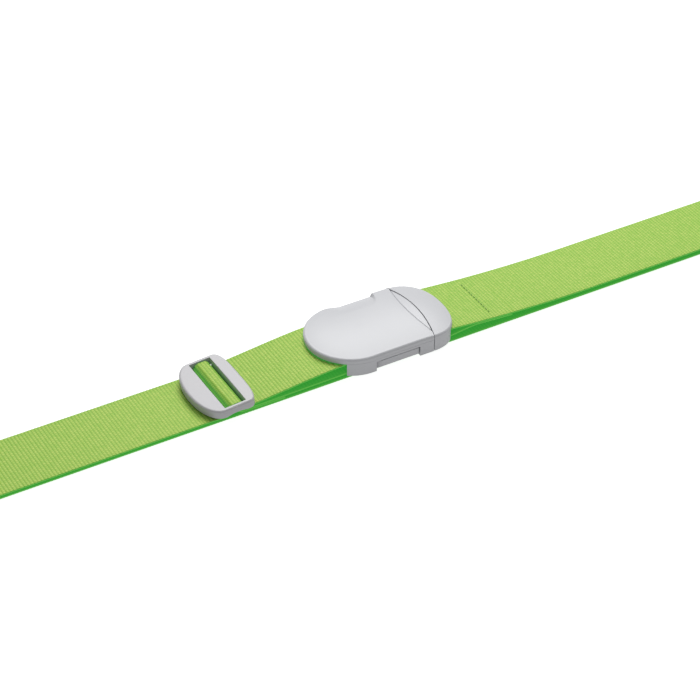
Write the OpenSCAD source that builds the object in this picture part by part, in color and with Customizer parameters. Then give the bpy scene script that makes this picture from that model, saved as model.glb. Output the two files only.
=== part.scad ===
// Adjustable luggage strap: a belt of webbing closed by a covered side-release buckle,
// with a three-bar slider that sets its length. It lies as a flattened loop, in millimetres.
// +X runs along the strap towards the sewn end, +Y across it and +Z up from the lower run.

/* [Webbing] */
// Width of the webbing
web_w = 50; // [40:1:60]
// Thickness of the webbing
web_t = 1.2; // [0.9:0.1:1.5]
// Length of the flattened loop from fold to fold
loop_len = 920; // [800:10:1200]
// Gap between the two runs left of the slider
left_gap = 1.0; // [0.5:0.1:2]
// Gap between the two runs at the right-hand end
right_gap = 2.4; // [1:0.1:4]
// Radius of each end fold, at the middle of the webbing
fold_r = 4.4; // [3:0.1:7]
// Length of the sewn tail at the slider
slider_tail = 36; // [25:1:45]
// Length of the sewn tail at the buckle, from its bar
buckle_tail = 54; // [40:1:70]

/* [Buckle] */
// Thickness of the outer walls
wall_t = 2.0; // [1.5:0.1:2.5]
// Width of the cheeks that carry the webbing bars
cheek_t = 3.2; // [2.6:0.1:5]
// Reach of the rounded left end from the buckle's centre line
left_reach = 30.8; // [27:0.1:36]
// Length between the centres of the two rounded ends
mid_len = 46.1; // [42:0.1:58]
// Reach of the rounded right end
right_reach = 24.5; // [22:0.1:30]
// Depth of the walls below the cover
wall_h = 9.2; // [8.6:0.1:12]
// Height of the cover's rim
rim_h = 3.4; // [2.6:0.1:5]
// Rise of the crowned top above the rim
crown_h = 3.0; // [2:0.1:4]
// Radius of the two webbing bars
bar_r = 2.4; // [2:0.1:2.6]
// Length of the window for each release pad
window_len = 33; // [26:1:36]
// Set-back of the release pads behind the wall
pad_setback = 1.0; // [0.5:0.1:1.4]
// Width of the centre tongue
tongue_w = 15; // [10:1:20]
// Depth of the finger scoops beside the release pads
scoop_d = 2.4; // [1:0.1:3]

/* [Slider] */
// Distance from the buckle's centre to the slider's bar
slider_x = 98; // [92:1:110]
// Tilt of the slider on the webbing, in degrees
slider_tilt = 4; // [2:0.5:5]
// Depth of the solid left plate
plate_len = 13.8; // [10:0.1:18]
// Depth of the right bar
rear_len = 8.7; // [6:0.1:12]
// Width of the end walls beyond the slots
end_wall = 2.7; // [2:0.1:4]
// Thickness of the frame
frame_t = 6.2; // [5.4:0.1:7.5]
// Half the width of the centre bar
bar_hw = 2.2; // [2:0.1:2.6]

/* [Hidden] */
// ---- clearances and small details ----
fit = 0.2;            // between parts that are fixed together
run_fit = 0.4;        // between parts that slide past each other
web_fit = 0.15;       // between webbing and the bar it wraps
layer_gap = 0.1;      // between two layers of webbing
web_side = 0.9;       // webbing to cheek, each side
split_bulge = 4.3;    // bulge of the joint line between cover and cap
split_gap = 0.35;     // width of that joint line
stack_gap = 0.35;     // lower run to the slider's tail
pass_gap = 3.95;      // way through each slot beside the wrapped bar
top_t = 2.0;          // thickness of the crowned skins
floor_t = 1.2;        // thickness of the buckle's floor
cap_fall = 1.4;       // how much further the crown falls on the cap's end
web_h = web_t / 2;
pitch = web_t + layer_gap;

// ---- webbing heights, at the middle of its thickness ----
z_low = web_h;
z_left = web_t + left_gap + web_h;
z_right = web_t + right_gap + web_h;
z_tail = web_t + stack_gap + web_h;
z_sewn = z_tail + pitch;
z_run = z_sewn + pitch + 0.3;

// ---- buckle ----
half_w = web_w / 2 + web_side + cheek_t + fit + wall_t;
base_z = web_t + 1.8;
rim_z = base_z + wall_h;
top_z = rim_z + rim_h;
crown_z = top_z + crown_h;
crown_r = (half_w * half_w + crown_h * crown_h) / (2 * crown_h);
right_c = mid_len;
flat_x0 = mid_len * 0.17;
flat_x1 = mid_len * 0.6;
split_mid = mid_len + split_bulge - 0.1;
split_r = (half_w * half_w + split_bulge * split_bulge) / (2 * split_bulge);
body_x0 = -17;
bar_z = rim_z - 0.45 - web_t - web_fit - bar_r;
wrap_r = bar_r + web_fit + web_h;
bar_x = body_x0 + 6;
cross_x = bar_x + wrap_r + web_h + 1.3;
cross_t = 2;
male_wall_x = split_mid + 0.1;
male_wall_t = 1.8;
male_bar_x = male_wall_x + male_wall_t + 1.2 + web_h + wrap_r;
window_x1 = mid_len - 10.6;
window_x0 = window_x1 - window_len;
window_top = rim_z - 1.7;
pad_top = window_top - 0.5;
pad_z0 = base_z + floor_t + 0.3;
pad_y = half_w - pad_setback;
inner_y = half_w - wall_t;
arm_r = 1.7;
arm_t = 2.8;
arm_in = inner_y - 4.8;
arm_x = male_wall_x - arm_r - 0.5;
arm_y = arm_in - 1.5;
arm_z0 = base_z + 2.4;
arm_z1 = pad_top - 0.4;
pad_x0 = window_x0 + 0.5;
pad_x1 = window_x1 - 0.4;
tongue_x0 = window_x0 + 3.5;
tongue_z0 = base_z + 2.4;
tongue_z1 = rim_z - 1.2;
rail_t = 1.5;

// ---- slider, in its own tilted frame, with its origin above the centre bar ----
slot_hx = bar_hw + web_fit + web_t + pass_gap;
slot_hy = web_w / 2 + 0.5;
frame_hy = slot_hy + end_wall;
frame_up = frame_t / 2 - 0.1;
frame_down = frame_t - frame_up;
bar_ht = 2.2;
bar_drop = 1.3;
plate_x = slot_hx + plate_len;
rear_x = slot_hx + rear_len;
// high enough for the running layer under the left plate and for the stack of layers under the right bar
slider_z = frame_down * cos(slider_tilt) + web_h
    + max(z_left + 0.5 + plate_x * sin(slider_tilt), z_run + 0.85 - rear_x * sin(slider_tilt));
loop_hx = bar_hw - bar_ht / 2;
loop_r = bar_ht / 2 + web_fit + web_h;
over_r = loop_r + pitch;
over_hx = loop_hx + over_r;
rise_r = 2.2;
rise_z = z_left + rise_r - slider_z + 0.45;
fall_r = 1.0 + web_h;
fall_z = fall_r - frame_down - 0.2 - web_h;

// ---- where the webbing is divided into nodes ----
fold_c = loop_len / 2 - fold_r - web_h;
fold_low_x = fold_c - 25;
fold_top_x = fold_c - 50;
low_split = 20;
left_split = -300;
right_split = 310;
wave_x0 = -slider_x - plate_x - 1.7;
wave_x1 = -slider_x + rear_x + 1.8;
sewn_x = wave_x1 + 20;
wrap_x = -20;
buckle_tail_x = male_bar_x + buckle_tail;
slider_tail_x = -slider_x + slider_tail;
slider_stitch_x = slider_tail_x - 8;
stitch_x = male_bar_x + 40;
low_x = male_bar_x + 28;
settle_x = 180;

web_colour = "yellowgreen";
web_shade = "forestgreen";
plastic = "silver";
plastic_dark = "darkgray";
thread_colour = "olivedrab";

// ---------- curves ----------

// A curve from p to q that leaves and arrives with the given slopes
function glide(p, q, m0, m1, n) = [for (i = [0:n]) let (s = i / n) glide_at(p, q, m0, m1, s)];

function glide_at(p, q, m0, m1, s) =
    let (d = q[0] - p[0], s2 = s * s, s3 = s2 * s)
    [p[0] + d * s,
     p[1] * (2 * s3 - 3 * s2 + 1) + m0 * d * (s3 - 2 * s2 + s)
        + q[1] * (3 * s2 - 2 * s3) + m1 * d * (s3 - s2)];

function arc(c, r, a0, a1, n) =
    [for (i = [0:n]) let (a = a0 + (a1 - a0) * i / n) [c[0] + r * cos(a), c[1] + r * sin(a)]];

function skip_first(p) = [for (i = [1:len(p) - 1]) p[i]];

function is_end(p, i) = i == 0 || i == len(p) - 1;

// The unit normal of a path at point i: upright at the two ends, so that neighbours meet squarely
function side(p, i) = is_end(p, i)
    ? [0, p[min(i + 1, len(p) - 1)][0] > p[max(i - 1, 0)][0] ? 1 : -1]
    : let (d = p[i + 1] - p[i - 1]) [-d[1], d[0]] / norm(d);

function band_points(p) = concat(
    [for (i = [0:len(p) - 1]) p[i] + side(p, i) * web_h],
    [for (i = [len(p) - 1:-1:0]) p[i] - side(p, i) * web_h]);

// Webbing that follows a path of [x, z] points, across the full width
module band(path) {
    rotate([90, 0, 0])
        linear_extrude(height = web_w, center = true)
            polygon(band_points(path));
}

// From the slider's tilted frame to the part's
function on_slider(p) = [
    -slider_x + p[0] * cos(slider_tilt) - p[1] * sin(slider_tilt),
    slider_z + p[0] * sin(slider_tilt) + p[1] * cos(slider_tilt)];

function tilted(path) = [for (p = path) on_slider(p)];

// ---------- webbing paths ----------

sewn_end = [wrap_x, z_sewn + 0.4];
female_top = [bar_x, bar_z + wrap_r];
female_low = [bar_x, bar_z - wrap_r];
male_top = [male_bar_x, bar_z + wrap_r];
male_low = [male_bar_x, bar_z - wrap_r];

// Height of the top layer between slider and buckle, at a given x
top_start = [wave_x1, z_run + 0.65];
function top_at(x) = glide_at(top_start, female_top, 0.09, 0, (x - wave_x1) / (bar_x - wave_x1))[1];

// Height of the upper run right of the buckle
function right_at(x) = x >= settle_x ? z_right
    : glide_at(male_top, [settle_x, z_right], -0.11, 0,
        (x - male_bar_x) / (settle_x - male_bar_x))[1];

function steps(a, b, n) = [for (i = [0:n]) a + (b - a) * i / n];

left_fold_path = concat(
    [[-fold_low_x, z_low]],
    arc([-fold_c, z_low + fold_r], fold_r, 270, 90, 18),
    skip_first(glide([-fold_c, z_low + 2 * fold_r], [-fold_top_x, z_left], 0, 0, 14)));

right_fold_path = concat(
    [[fold_low_x, z_low]],
    arc([fold_c, z_low + fold_r], fold_r, -90, 90, 18),
    skip_first(glide([fold_c, z_low + 2 * fold_r], [fold_top_x, z_right], 0, 0, 14)));

// Around the slider's bar, in the slider's frame: the running layer rises beside the left plate,
// crosses over the wrapped bar and dives under the right bar, with the loop's legs beneath it
wave_left = on_slider([-over_hx - rise_r, rise_z - rise_r]);
wave_right = on_slider([over_hx + fall_r, fall_z - fall_r]);
leg_right = on_slider([over_hx + fall_r, fall_z - fall_r - pitch]);
tail_right = on_slider([over_hx + fall_r, fall_z - fall_r - 2 * pitch]);

slider_wave_path = concat(
    [[wave_x0, z_left]],
    glide([wave_x0 + 6, z_left], wave_left, 0, tan(slider_tilt), 6),
    skip_first(tilted(arc([-over_hx - rise_r, rise_z], rise_r, -90, 0, 8))),
    tilted(arc([-loop_hx, -bar_drop], over_r, 180, 90, 10)),
    tilted(arc([loop_hx, -bar_drop], over_r, 90, 0, 10)),
    tilted(arc([over_hx + fall_r, fall_z], fall_r, 180, 270, 8)),
    skip_first(glide(wave_right, top_start, tan(slider_tilt), 0.06, 8)));

top_layer_path = [for (x = steps(wave_x1, wrap_x, 20)) [x, top_at(x)]];

female_wrap_path = concat(
    [for (x = steps(wrap_x, bar_x, 6)) [x, top_at(x)]],
    skip_first(arc([bar_x, bar_z], wrap_r, 90, -90, 18)),
    [sewn_end]);

// Height of the sewn layer beneath the top layer
function sewn_at(x) = glide_at([wave_x1, z_sewn], sewn_end, 0, 0, (x - wave_x1) / (wrap_x - wave_x1))[1];

sewn_layer_path = [for (x = steps(sewn_x, wrap_x, 8)) [x, sewn_at(x)]];

slider_loop_path = concat(
    [[slider_tail_x, z_tail]],
    glide([wave_x1, z_tail], tail_right, 0, tan(slider_tilt), 6),
    skip_first(tilted(arc([over_hx + fall_r, fall_z], fall_r + 2 * pitch, 270, 205, 6))),
    tilted(arc([-loop_hx, -bar_drop], loop_r, 270, 90, 16)),
    tilted(arc([loop_hx, -bar_drop], loop_r, 90, 0, 10)),
    tilted(arc([over_hx + fall_r, fall_z], fall_r + pitch, 180, 270, 8)),
    skip_first(glide(leg_right, [wave_x1, z_sewn], tan(slider_tilt), 0, 6)),
    [for (x = steps(wave_x1 + 2, sewn_x, 5)) [x, sewn_at(x)]]);

male_loop_path = concat(
    [for (x = steps(buckle_tail_x, low_x, 8)) [x, right_at(x) - pitch]],
    skip_first(glide([low_x, right_at(low_x) - pitch], male_low, -0.04, 0, 8)),
    skip_first(arc([male_bar_x, bar_z], wrap_r, 270, 90, 18)),
    skip_first([for (x = steps(male_bar_x, buckle_tail_x + 1, 16)) [x, right_at(x)]]));

right_near_path = [for (x = steps(buckle_tail_x + 1, right_split, 24)) [x, right_at(x)]];

// ---------- buckle shapes ----------

// The buckle's outline: half an ellipse on the left, a fuller curve on the right
function outline_points(inset, n = 96) = [for (i = [0:n - 1])
    let (a = 360 * i / n, c = cos(a), s = sin(a), e = c < 0 ? 1 : 2 / 2.35,
        reach = (c < 0 ? left_reach : right_reach) - inset)
    [(c < 0 ? 0 : right_c) + sign(c) * reach * pow(abs(c), e),
     sign(s) * (half_w - inset) * pow(abs(s), e)]];

module outline_block(inset, z0, z1) {
    translate([0, 0, z0])
        linear_extrude(height = z1 - z0)
            polygon(outline_points(inset));
}

// The crown's fall towards the ends, flat between flat_x0 and flat_x1
function end_fall(x) = x < flat_x0
    ? crown_h * pow((flat_x0 - x) / (flat_x0 + left_reach), 3)
    : (crown_h + cap_fall) * pow((x - flat_x1) / (right_c + right_reach - flat_x1), 3);

// A long drum on its side, whose top is the crown of the cover and the cap
module crown_drum(lower = 0) {
    x0 = -left_reach - 1;
    x1 = right_c + right_reach + 1;
    translate([0, 0, crown_z - crown_r])
        rotate([0, 90, 0])
            rotate_extrude($fn = 180)
                polygon(concat([[0, x0]],
                    [for (x = concat(steps(x0, flat_x0, 7), steps(flat_x1, x1, 8)))
                        [crown_r - lower - end_fall(x), x]],
                    [[0, x1]]));
}

// Everything on the female side of the joint line
module split_drum(grow = 0) {
    translate([split_mid - split_r, 0, 0])
        cylinder(r = split_r + grow, h = 60, center = true, $fn = 180);
}

module crowned_block(inset, z0, lower = 0) {
    intersection() {
        outline_block(inset, z0, crown_z + 1);
        crown_drum(lower);
    }
}

// A box given by its corner points
module span(a, b) {
    translate(a)
        cube(b - a);
}

module both_sides() {
    children();
    mirror([0, 1, 0])
        children();
}

// Shallow crescent facet along the joint line
module crescent_cut() {
    lens_c = split_mid - 9.2 + split_r * 0.75;
    intersection() {
        translate([lens_c, 0, 0])
            cylinder(r = split_r * 0.75, h = 60, center = true, $fn = 180);
        split_drum(-0.8);
        span([mid_len - 12, -half_w * 0.8, top_z], [split_mid + 1, half_w * 0.85, crown_z + 5]);
        difference() {
            span([0, -half_w, top_z], [split_mid + 5, half_w, crown_z + 5]);
            crown_drum(0.5);
        }
    }
}

// Finger scoop in the cover's edge, deeper to the right, where it ends in a step
module scoop_cut() {
    scoop_r = 14;
    translate([window_x1 - 0.5, half_w + scoop_r * 0.62, top_z + scoop_r * 0.78 - scoop_d])
        rotate([0, -93, 0])
            cylinder(r = scoop_r, h = window_len * 1.25, $fn = 96);
}

module female_cover() {
    color(plastic)
        difference() {
            intersection() {
                crowned_block(0, rim_z);
                split_drum();
            }
            intersection() {
                crowned_block(wall_t, rim_z - 1, top_t);
                union() {
                    split_drum(-1.2);
                    span([mid_len - 8, -inner_y + 1.5, rim_z - 1], [split_mid + 1, inner_y - 1.5, top_z]);
                }
            }
            crescent_cut();
            both_sides()
                scoop_cut();
        }
}

module female_body() {
    color(plastic)
        difference() {
            union() {
                difference() {
                    intersection() {
                        outline_block(0, base_z, rim_z);
                        split_drum();
                        span([body_x0, -half_w - 1, 0], [split_mid + 5, half_w + 1, crown_z]);
                    }
                    // pocket for the webbing
                    span([body_x0 - 1, -web_w / 2 - web_side, 0],
                        [cross_x, web_w / 2 + web_side, crown_z]);
                    // room for the tongue and the arms
                    intersection() {
                        outline_block(wall_t, base_z + floor_t, crown_z);
                        span([cross_x + cross_t, -half_w, 0], [split_mid + 20, half_w, crown_z]);
                    }
                }
                translate([bar_x, 0, bar_z])
                    rotate([90, 0, 0])
                        cylinder(r = bar_r, h = web_w + 2 * web_side + 1, center = true, $fn = 64);
                both_sides()
                    span([tongue_x0 + 3, tongue_w / 2 + run_fit, base_z],
                        [mid_len - 4, tongue_w / 2 + run_fit + rail_t, tongue_z1 - 2]);
            }
            // windows for the release pads
            both_sides()
                span([window_x0, inner_y - 0.6, 0], [window_x1, half_w + 1, window_top]);
        }
}

module male_cap() {
    color(plastic)
        difference() {
            crowned_block(0, base_z);
            split_drum(split_gap);
            crowned_block(wall_t, base_z - 1, top_t);
            // way out for the webbing
            span([male_bar_x + 1, -web_w / 2 - web_side, 0],
                [right_c + right_reach + 1, web_w / 2 + web_side, rim_z - 0.6]);
        }
}

module male_body() {
    cheek_y = web_w / 2 + web_fit + 0.45;
    color(plastic_dark) {
        intersection() {
            outline_block(wall_t + fit / 2, base_z + floor_t + 0.4, rim_z + 0.3);
            union() {
                span([male_wall_x, -half_w, 0], [male_wall_x + male_wall_t, half_w, crown_z]);
                both_sides()
                    span([male_wall_x, cheek_y, 0], [male_bar_x + bar_r + 0.6, half_w, crown_z]);
                both_sides()
                    arm_socket();
                translate([male_bar_x, 0, bar_z])
                    rotate([90, 0, 0])
                        cylinder(r = bar_r, h = web_w + 2.4, center = true, $fn = 64);
            }
        }
        // tongue with a rounded nose
        intersection() {
            span([tongue_x0, -tongue_w / 2, tongue_z0], [male_wall_x, tongue_w / 2, tongue_z1]);
            union() {
                translate([tongue_x0 + tongue_w / 2, 0, 0])
                    cylinder(r = tongue_w / 2, h = 60, $fn = 64);
                span([tongue_x0 + tongue_w / 2, -tongue_w, 0], [male_wall_x + 1, tongue_w, 60]);
            }
        }
    }
}

// Hollow that the rounded root of an arm turns in
module arm_socket() {
    difference() {
        span([arm_x + 0.4, arm_y - 2.4, arm_z0 - 0.4], [male_wall_x + 0.5, arm_y + 2.4, arm_z1 + 0.4]);
        translate([arm_x, arm_y, 0])
            cylinder(r = arm_r + 0.06, h = crown_z, $fn = 48);
    }
}

// The springy arm on the far side
module release_arm() {
    translate([0, 0, arm_z0])
        linear_extrude(height = arm_z1 - arm_z0)
            polygon([[arm_x, arm_y - arm_t / 2], [arm_x, arm_y + arm_t / 2],
                [pad_x1 + 1, arm_in + arm_t], [pad_x0 + 1, arm_in + arm_t],
                [pad_x0 + 1, arm_in + 1.4], [pad_x0 + 3, arm_in], [pad_x1 + 1, arm_in]]);
    translate([arm_x, arm_y, arm_z0])
        cylinder(r = arm_r, h = arm_z1 - arm_z0, $fn = 48);
}

// The pad on the far arm, whose square right end holds the latch
module release_pad() {
    pad_in = arm_in + arm_t;
    translate([0, 0, pad_z0])
        linear_extrude(height = pad_top - pad_z0)
            polygon([[pad_x1, pad_in], [pad_x1, pad_y], [pad_x0 + 4, pad_y],
                [pad_x0 + 1.4, pad_y - 0.7], [pad_x0, pad_y - 2], [pad_x0, pad_in]]);
}

module far_release_arm() {
    color(plastic_dark)
        release_arm();
}

module near_release_arm() {
    color(plastic_dark)
        mirror([0, 1, 0])
            release_arm();
}

module far_release_pad() {
    color(plastic)
        release_pad();
}

module near_release_pad() {
    color(plastic)
        mirror([0, 1, 0])
            release_pad();
}

// ---------- slider ----------

// The frame's outline: a deep bow on the left, a flatter and squarer one on the right
function frame_points(n = 72) = [for (i = [0:n - 1])
    let (a = 360 * i / n, c = cos(a), s = sin(a), e = c < 0 ? 2 / 2.1 : 2 / 3.2)
    [c < 0 ? -8 - (plate_x - 8) * pow(-c, e) : 8 + (rear_x - 8) * pow(c, e),
     sign(s) * frame_hy * pow(abs(s), e)]];

module slider_frame() {
    arch_rise = 2.6;
    arch_half = slot_hx - 0.3;
    arch_r = (arch_half * arch_half + arch_rise * arch_rise) / (2 * arch_rise);
    color(plastic)
        translate([-slider_x, 0, slider_z])
            rotate([0, -slider_tilt, 0]) {
                difference() {
                    translate([0, 0, -frame_down])
                        linear_extrude(height = frame_t)
                            polygon(frame_points());
                    span([-slot_hx, -slot_hy, -20], [slot_hx, slot_hy, 20]);
                    both_sides()
                        translate([0, slot_hy - 1, arch_rise - arch_r - frame_down])
                            rotate([-90, 0, 0])
                                cylinder(r = arch_r, h = end_wall + 2, $fn = 96);
                }
                rotate([90, 0, 0])
                    linear_extrude(height = 2 * slot_hy + end_wall, center = true)
                        polygon(concat(arc([loop_hx, -bar_drop], bar_ht / 2, -90, 90, 14),
                            arc([-loop_hx, -bar_drop], bar_ht / 2, 90, 270, 14)));
            }
}

// ---------- stitching ----------

// A row of half-round stitches across the webbing, with their flat side down at z
module stitch_row(x, z) {
    stitch = 2.2;
    gap = 0.9;
    edge_margin = 6;
    n = floor((web_w - 2 * edge_margin) / (stitch + gap));
    for (i = [0:n - 1])
        translate([x, (i - (n - 1) / 2) * (stitch + gap), z])
            intersection() {
                rotate([90, 0, 0])
                    cylinder(r = 0.35, h = stitch, center = true, $fn = 24);
                translate([-1, -stitch, 0])
                    cube([2, 2 * stitch, 1]);
            }
}

module male_stitching() {
    color(thread_colour)
        stitch_row(stitch_x, right_at(stitch_x - 0.35) + web_h + 0.05);
}

module slider_stitching() {
    color(thread_colour)
        stitch_row(slider_stitch_x, sewn_at(slider_stitch_x + 0.35) + web_h + 0.05);
}

// ---------- webbing nodes ----------

module webbing_lower_left() {
    color(web_shade)
        span([-fold_low_x, -web_w / 2, 0], [low_split, web_w / 2, web_t]);
}

module webbing_lower_right() {
    color(web_shade)
        span([low_split, -web_w / 2, 0], [fold_low_x, web_w / 2, web_t]);
}

module webbing_left_fold() {
    color(web_colour)
        band(left_fold_path);
}

module webbing_left_far() {
    color(web_colour)
        band([[-fold_top_x, z_left], [left_split, z_left]]);
}

module webbing_left_near() {
    color(web_colour)
        band([[left_split, z_left], [wave_x0, z_left]]);
}

module webbing_slider_wave() {
    color(web_colour)
        band(slider_wave_path);
}

module webbing_top_layer() {
    color(web_colour)
        band(top_layer_path);
}

module webbing_female_wrap() {
    color(web_colour)
        band(female_wrap_path);
}

module webbing_sewn_layer() {
    color(web_shade)
        band(sewn_layer_path);
}

module webbing_slider_loop() {
    color(web_shade)
        band(slider_loop_path);
}

module webbing_male_loop() {
    color(web_colour)
        band(male_loop_path);
}

module webbing_right_near() {
    color(web_colour)
        band(right_near_path);
}

module webbing_right_far() {
    color(web_colour)
        band([[right_split, z_right], [fold_top_x, z_right]]);
}

module webbing_right_fold() {
    color(web_colour)
        band(right_fold_path);
}

female_cover();
female_body();
male_cap();
male_body();
near_release_arm();
far_release_arm();
near_release_pad();
far_release_pad();
slider_frame();
webbing_lower_left();
webbing_lower_right();
webbing_left_fold();
webbing_left_far();
webbing_left_near();
webbing_slider_wave();
webbing_top_layer();
webbing_female_wrap();
webbing_sewn_layer();
webbing_slider_loop();
webbing_male_loop();
webbing_right_near();
webbing_right_far();
webbing_right_fold();
slider_stitching();
male_stitching();
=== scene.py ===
"""Visual model of an adjustable luggage strap: webbing belt, covered buckle and three-bar slider.

Lengths in the classes are in millimetres, in the row frame: +X along the strap, +Y across it and
+Z up from the surface that the lower run lies on. Meshes are written in metres.
"""

import logging
import math
from dataclasses import dataclass
from enum import Enum
from typing import Callable, Sequence

import bmesh
import bpy
import numpy as np
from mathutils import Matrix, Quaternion, Vector


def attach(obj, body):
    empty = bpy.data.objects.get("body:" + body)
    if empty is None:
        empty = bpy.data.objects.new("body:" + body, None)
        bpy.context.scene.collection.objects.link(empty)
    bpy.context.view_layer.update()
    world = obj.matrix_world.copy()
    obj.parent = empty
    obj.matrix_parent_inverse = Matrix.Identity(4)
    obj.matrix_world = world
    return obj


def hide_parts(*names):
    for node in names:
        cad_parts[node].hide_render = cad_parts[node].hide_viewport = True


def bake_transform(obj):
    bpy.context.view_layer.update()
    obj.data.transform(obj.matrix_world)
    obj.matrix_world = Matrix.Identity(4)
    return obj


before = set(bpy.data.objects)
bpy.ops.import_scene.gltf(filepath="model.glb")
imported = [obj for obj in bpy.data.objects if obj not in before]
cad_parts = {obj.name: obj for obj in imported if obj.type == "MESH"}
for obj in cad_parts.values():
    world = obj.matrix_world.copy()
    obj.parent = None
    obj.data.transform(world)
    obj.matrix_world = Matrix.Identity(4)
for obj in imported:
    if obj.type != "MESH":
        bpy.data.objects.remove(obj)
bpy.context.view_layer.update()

MM = 0.001
LOG = logging.getLogger("luggage_strap")

# In a copy of a CAD mesh, corners closer than WELD metres are one, and faces that turn less than
# FLAT_TURN are one flat. Edges that turn by more than SHARP_TURN are shaded sharp, and those that
# turn by more than ROUND_TURN are rounded.
WELD = 2e-7
FLAT_TURN = math.radians(0.5)
SHARP_TURN = math.radians(35)
ROUND_TURN = math.radians(38)

# In a piece that is built here, the degrees past which a turn is shaded sharp.
SHELL_SHARP = 42
RING_SHARP = 38
FABRIC_SHARP = 60

# Share of a span's length over which its painted shade fades as it comes out from beneath a layer,
# and the covered share of a span that lies all beneath one and is painted in shade throughout.
FADE = 0.03
COVERED = 1.0 + FADE

# Steps in which a guide curve is worked out, before a span takes its own points from it.
GUIDE_STEPS = 400

# How far past a meeting of two spans the next one starts.
LAP = 1.0


class Hold(Enum):
    """How a length of webbing is held."""

    LAID = "laid"
    FOLDED = "folded"
    STRETCHED = "stretched"


class Slot(Enum):
    """Names of the material slots."""

    WEBBING = "webbing"
    THREAD = "thread"
    PLASTIC = "plastic"
    INNER = "inner_plastic"


# ---------------------------------------------------------------- curves


def glide(p: Sequence[float], q: Sequence[float], m0: float, m1: float, n: int) -> np.ndarray:
    """A curve from p to q that leaves and arrives with given slopes.

    The height is the cubic Hermite blend of the two end heights and the two end slopes.

    Args:
        p: Start, as x and z.
        q: End, as x and z.
        m0: Slope at the start.
        m1: Slope at the end.
        n: Number of steps.

    Returns:
        Points as an (n + 1, 2) array.
    """
    s = np.linspace(0.0, 1.0, n + 1)
    d = q[0] - p[0]
    s2, s3 = s * s, s * s * s
    z = p[1] * (2 * s3 - 3 * s2 + 1) + m0 * d * (s3 - 2 * s2 + s)
    z = z + q[1] * (3 * s2 - 2 * s3) + m1 * d * (s3 - s2)
    return np.column_stack([p[0] + d * s, z])


def arc(centre: Sequence[float], r: float, a0: float, a1: float, n: int) -> np.ndarray:
    """Points on a circle from angle a0 to a1, in degrees: centre plus r times cosine and sine."""
    a = np.radians(np.linspace(a0, a1, n + 1))
    return np.column_stack([centre[0] + r * np.cos(a), centre[1] + r * np.sin(a)])


def smooth(low: float, high: float, x: np.ndarray) -> np.ndarray:
    """A smooth step from 0 at low to 1 at high: three t squared less two t cubed."""
    t = np.clip((x - low) / (high - low), 0.0, 1.0)
    return t * t * (3 - 2 * t)


def straight(x0: float, x1: float, z: float) -> np.ndarray:
    """A level line from x0 to x1 at height z, as two points."""
    return np.array([[x0, z], [x1, z]], float)


def even_path(points: np.ndarray, step: float, soften: float = 0.0) -> np.ndarray:
    """Respaces a path evenly along its own length.

    Args:
        points: Path as an (n, 2) array, where repeated points are dropped.
        step: Spacing wanted.
        soften: Length over which corners are averaged away, or 0 for none.

    Returns:
        The path at equal steps, with its two ends where they were.
    """
    gaps = np.linalg.norm(np.diff(points, axis=0), axis=1)
    points = points[np.concatenate([[True], gaps > 1e-6])]
    run = np.concatenate([[0.0], np.cumsum(np.linalg.norm(np.diff(points, axis=0), axis=1))])
    n = max(4, int(round(run[-1] / step)))
    at = np.linspace(0.0, run[-1], n + 1)
    path = np.column_stack([np.interp(at, run, points[:, k]) for k in (0, 1)])
    reach = int(soften / step / 2)
    if reach > 0:
        kernel = np.hanning(2 * reach + 3)[1:-1]
        kernel = kernel / kernel.sum()
        padded = np.vstack([2 * path[0] - path[reach:0:-1], path, 2 * path[-1] - path[-2:-reach - 2:-1]])
        path = np.column_stack([np.convolve(padded[:, k], kernel, "valid") for k in (0, 1)])
    return path


# ---------------------------------------------------------------- meshes


def grid_faces(rows: int, cols: int, wrap_rows: bool = False, wrap_cols: bool = True) -> np.ndarray:
    """Quads between neighbouring points of a grid stored row by row.

    Args:
        rows: Number of rows.
        cols: Number of points in each row.
        wrap_rows: True if the last row joins the first.
        wrap_cols: True if the last point of a row joins its first.

    Returns:
        Corner indices as an (m, 4) array.
    """
    i = np.arange(rows if wrap_rows else rows - 1)[:, None]
    j = np.arange(cols if wrap_cols else cols - 1)[None, :]
    i2, j2 = (i + 1) % rows, (j + 1) % cols
    corners = [i * cols + j, i * cols + j2, i2 * cols + j2, i2 * cols + j]
    return np.stack(np.broadcast_arrays(*corners), axis=-1).reshape(-1, 4)


def mesh_piece(name: str, points: np.ndarray, faces: list, sharp_deg: float) -> bpy.types.Object:
    """Makes a mesh object at the origin from points in millimetres.

    Args:
        name: Name of the piece.
        points: Points as an (n, 3) array.
        faces: Corner indices of each face.
        sharp_deg: Edges that turn by more than this are shaded sharp.

    Returns:
        The new object, linked to the scene, with faces that point outwards.
    """
    mesh = bpy.data.meshes.new(name)
    mesh.from_pydata((points * MM).tolist(), [], faces)
    work = bmesh.new()
    work.from_mesh(mesh)
    bmesh.ops.remove_doubles(work, verts=work.verts, dist=1e-7)
    bmesh.ops.dissolve_degenerate(work, edges=work.edges, dist=1e-8)
    bmesh.ops.recalc_face_normals(work, faces=work.faces)
    work.to_mesh(mesh)
    work.free()
    mesh.shade_smooth()
    mesh.set_sharp_from_angle(angle=math.radians(sharp_deg))
    piece = bpy.data.objects.new(name, mesh)
    bpy.context.scene.collection.objects.link(piece)
    return piece


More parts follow.
